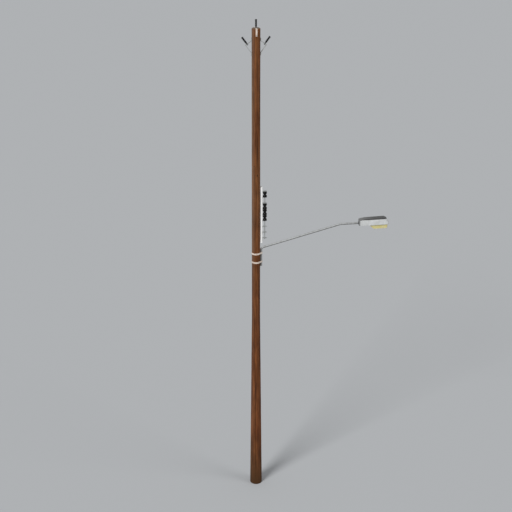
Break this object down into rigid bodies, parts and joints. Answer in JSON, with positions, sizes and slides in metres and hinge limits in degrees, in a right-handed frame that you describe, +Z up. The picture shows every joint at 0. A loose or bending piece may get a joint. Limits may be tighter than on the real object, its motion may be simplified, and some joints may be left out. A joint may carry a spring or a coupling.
{
  "type": "wooden utility pole",
  "caption": "Tall tapered wooden pole with black pole-top insulators, a spool rack on its side and a street lamp on a bent pipe arm.",
  "frame": {"origin": "pole axis at ground level", "axes": "+Z up the pole, +X along the lamp arm, -Y the pictured side"},
  "size_m": [3.0466, 0.2598, 10.5306],
  "materials": {
    "pole_wood": "weathered, treated pine with reddish streaks",
    "pale_steel": "bright galvanised strap",
    "rack_paint": "near-white paint",
    "galvanised_steel": "dull hot-dip galvanised",
    "arm_steel": "galvanised pipe",
    "black_glaze": "black glaze",
    "lamp_casting": "light grey paint on die-cast aluminium",
    "reflector_metal": "bright anodised sheet",
    "socket_ceramic": "unglazed white",
    "bulb_glass": "clear glass over a frosted arc tube",
    "lens_glass": "pale yellow prismatic glass"
  },
  "bodies": {
    "root": {"pole_shaft": "pole_wood", "top_saddle": "pale_steel", "rack_channel": "rack_paint", "lower_band": "pale_steel", "upper_band": "pale_steel", "lamp_arm": "arm_steel", "lamp_housing": "lamp_casting", "reflector": "reflector_metal", "lamp_socket": "socket_ceramic", "bulb": "bulb_glass", "rack_rod": "galvanised_steel", "left_bracket": "galvanised_steel", "right_bracket": "galvanised_steel", "top_pin": "galvanised_steel", "top_insulator": "black_glaze", "left_pin": "galvanised_steel", "left_insulator": "black_glaze", "right_pin": "galvanised_steel", "right_insulator": "black_glaze", "rack_ear_1": "galvanised_steel", "rack_ear_2": "galvanised_steel", "rack_ear_3": "galvanised_steel", "rack_ear_4": "galvanised_steel", "rack_ear_5": "galvanised_steel", "rack_ear_6": "galvanised_steel", "rack_ear_7": "galvanised_steel", "rack_ear_8": "galvanised_steel", "rack_ear_9": "galvanised_steel"},
    "spool_1_body": {"spool_1": "black_glaze"},
    "spool_2_body": {"spool_2": "black_glaze"},
    "spool_3_body": {"spool_3": "black_glaze"},
    "spool_4_body": {"spool_4": "black_glaze"},
    "lens_door": {"door_frame": "lamp_casting", "lens": "lens_glass"}
  },
  "joints": [
    {"name": "lens_door_hinge", "type": "hinge", "parent": "root", "child": "lens_door", "pos_m": [2.31721, 0, 6.17704], "axis": [0, 1, 0], "range_deg": [0, 85]},
    {"name": "spool_1_turn", "type": "hinge", "parent": "root", "child": "spool_1_body", "pos_m": [0.18033, 0, 6.9549], "axis": [0, 0, 1], "continuous": true},
    {"name": "spool_2_turn", "type": "hinge", "parent": "root", "child": "spool_2_body", "pos_m": [0.18033, 0, 6.6979], "axis": [0, 0, 1], "continuous": true},
    {"name": "spool_3_turn", "type": "hinge", "parent": "root", "child": "spool_3_body", "pos_m": [0.18033, 0, 6.5694], "axis": [0, 0, 1], "continuous": true},
    {"name": "spool_4_turn", "type": "hinge", "parent": "root", "child": "spool_4_body", "pos_m": [0.18033, 0, 6.4409], "axis": [0, 0, 1], "continuous": true}
  ]
}
